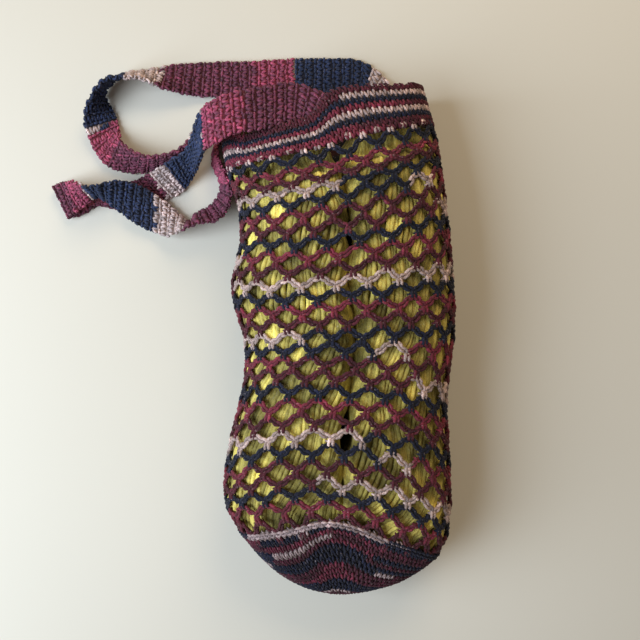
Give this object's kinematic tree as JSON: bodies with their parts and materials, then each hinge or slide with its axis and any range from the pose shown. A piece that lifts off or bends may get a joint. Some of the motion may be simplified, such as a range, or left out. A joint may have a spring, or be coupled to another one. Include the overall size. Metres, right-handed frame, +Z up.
{
  "type": "crocheted string bag filled with yarn",
  "caption": "String bag lying on its back, with a solid base, an open net body, a solid band round the mouth, a long flat strap in loose loops, and skeins of yarn inside.",
  "frame": {"origin": "middle of the footprint, on the surface that the bag lies on", "axes": "+X across the bag, away from the strap's loops; +Y along it, from the closed base to the mouth; +Z up"},
  "size_m": [0.3104, 0.4096, 0.0999],
  "materials": {
    "base": "single crochet in variegated wool",
    "net_body": "open chain-loop net in variegated wool",
    "rim_band": "single crochet in variegated wool",
    "strap": "single crochet in variegated wool",
    "yarn_skein_left": "soft two-ply yarn",
    "yarn_skein_right": "soft two-ply yarn"
  },
  "bodies": {
    "root": {"base": "base", "net_body": "net_body", "rim_band": "rim_band", "strap": "strap", "yarn_skein_left": "yarn_skein_left", "yarn_skein_right": "yarn_skein_right"}
  },
  "joints": []
}
